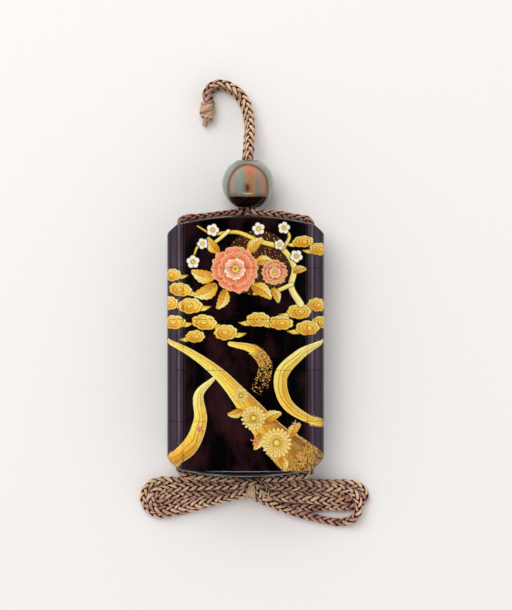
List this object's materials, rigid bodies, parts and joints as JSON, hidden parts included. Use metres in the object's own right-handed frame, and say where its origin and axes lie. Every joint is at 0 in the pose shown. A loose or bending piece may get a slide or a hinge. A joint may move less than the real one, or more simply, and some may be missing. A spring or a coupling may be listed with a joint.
{
  "type": "inro case",
  "caption": "Flat lacquered case of stacked trays under a lid, held by a silk cord that runs through a bead and ends in a bow.",
  "frame": {"origin": "middle of the flat strip on the back that the case lies on, at the table's surface, halfway along the case", "axes": "+Z out of the decorated front, +Y towards the lid and the bead, +X to the right as the front is looked at with the lid up"},
  "size_m": [0.0826, 0.1613, 0.025],
  "materials": {
    "lacquer": "polished black-brown urushi lacquer with gold and red sprinkled decoration",
    "bead": "polished banded agate",
    "cord": "braided silk, worn and faded"
  },
  "bodies": {
    "root": {"lid": "lacquer", "tray_1": "lacquer", "tray_2": "lacquer", "tray_3": "lacquer", "tray_4": "lacquer", "ojime_bead": "bead", "cord_upper_left": "cord", "cord_upper_right": "cord", "cord_in_channel_left": "cord", "cord_in_channel_right": "cord", "end_knot": "cord", "bow": "cord"}
  },
  "joints": []
}
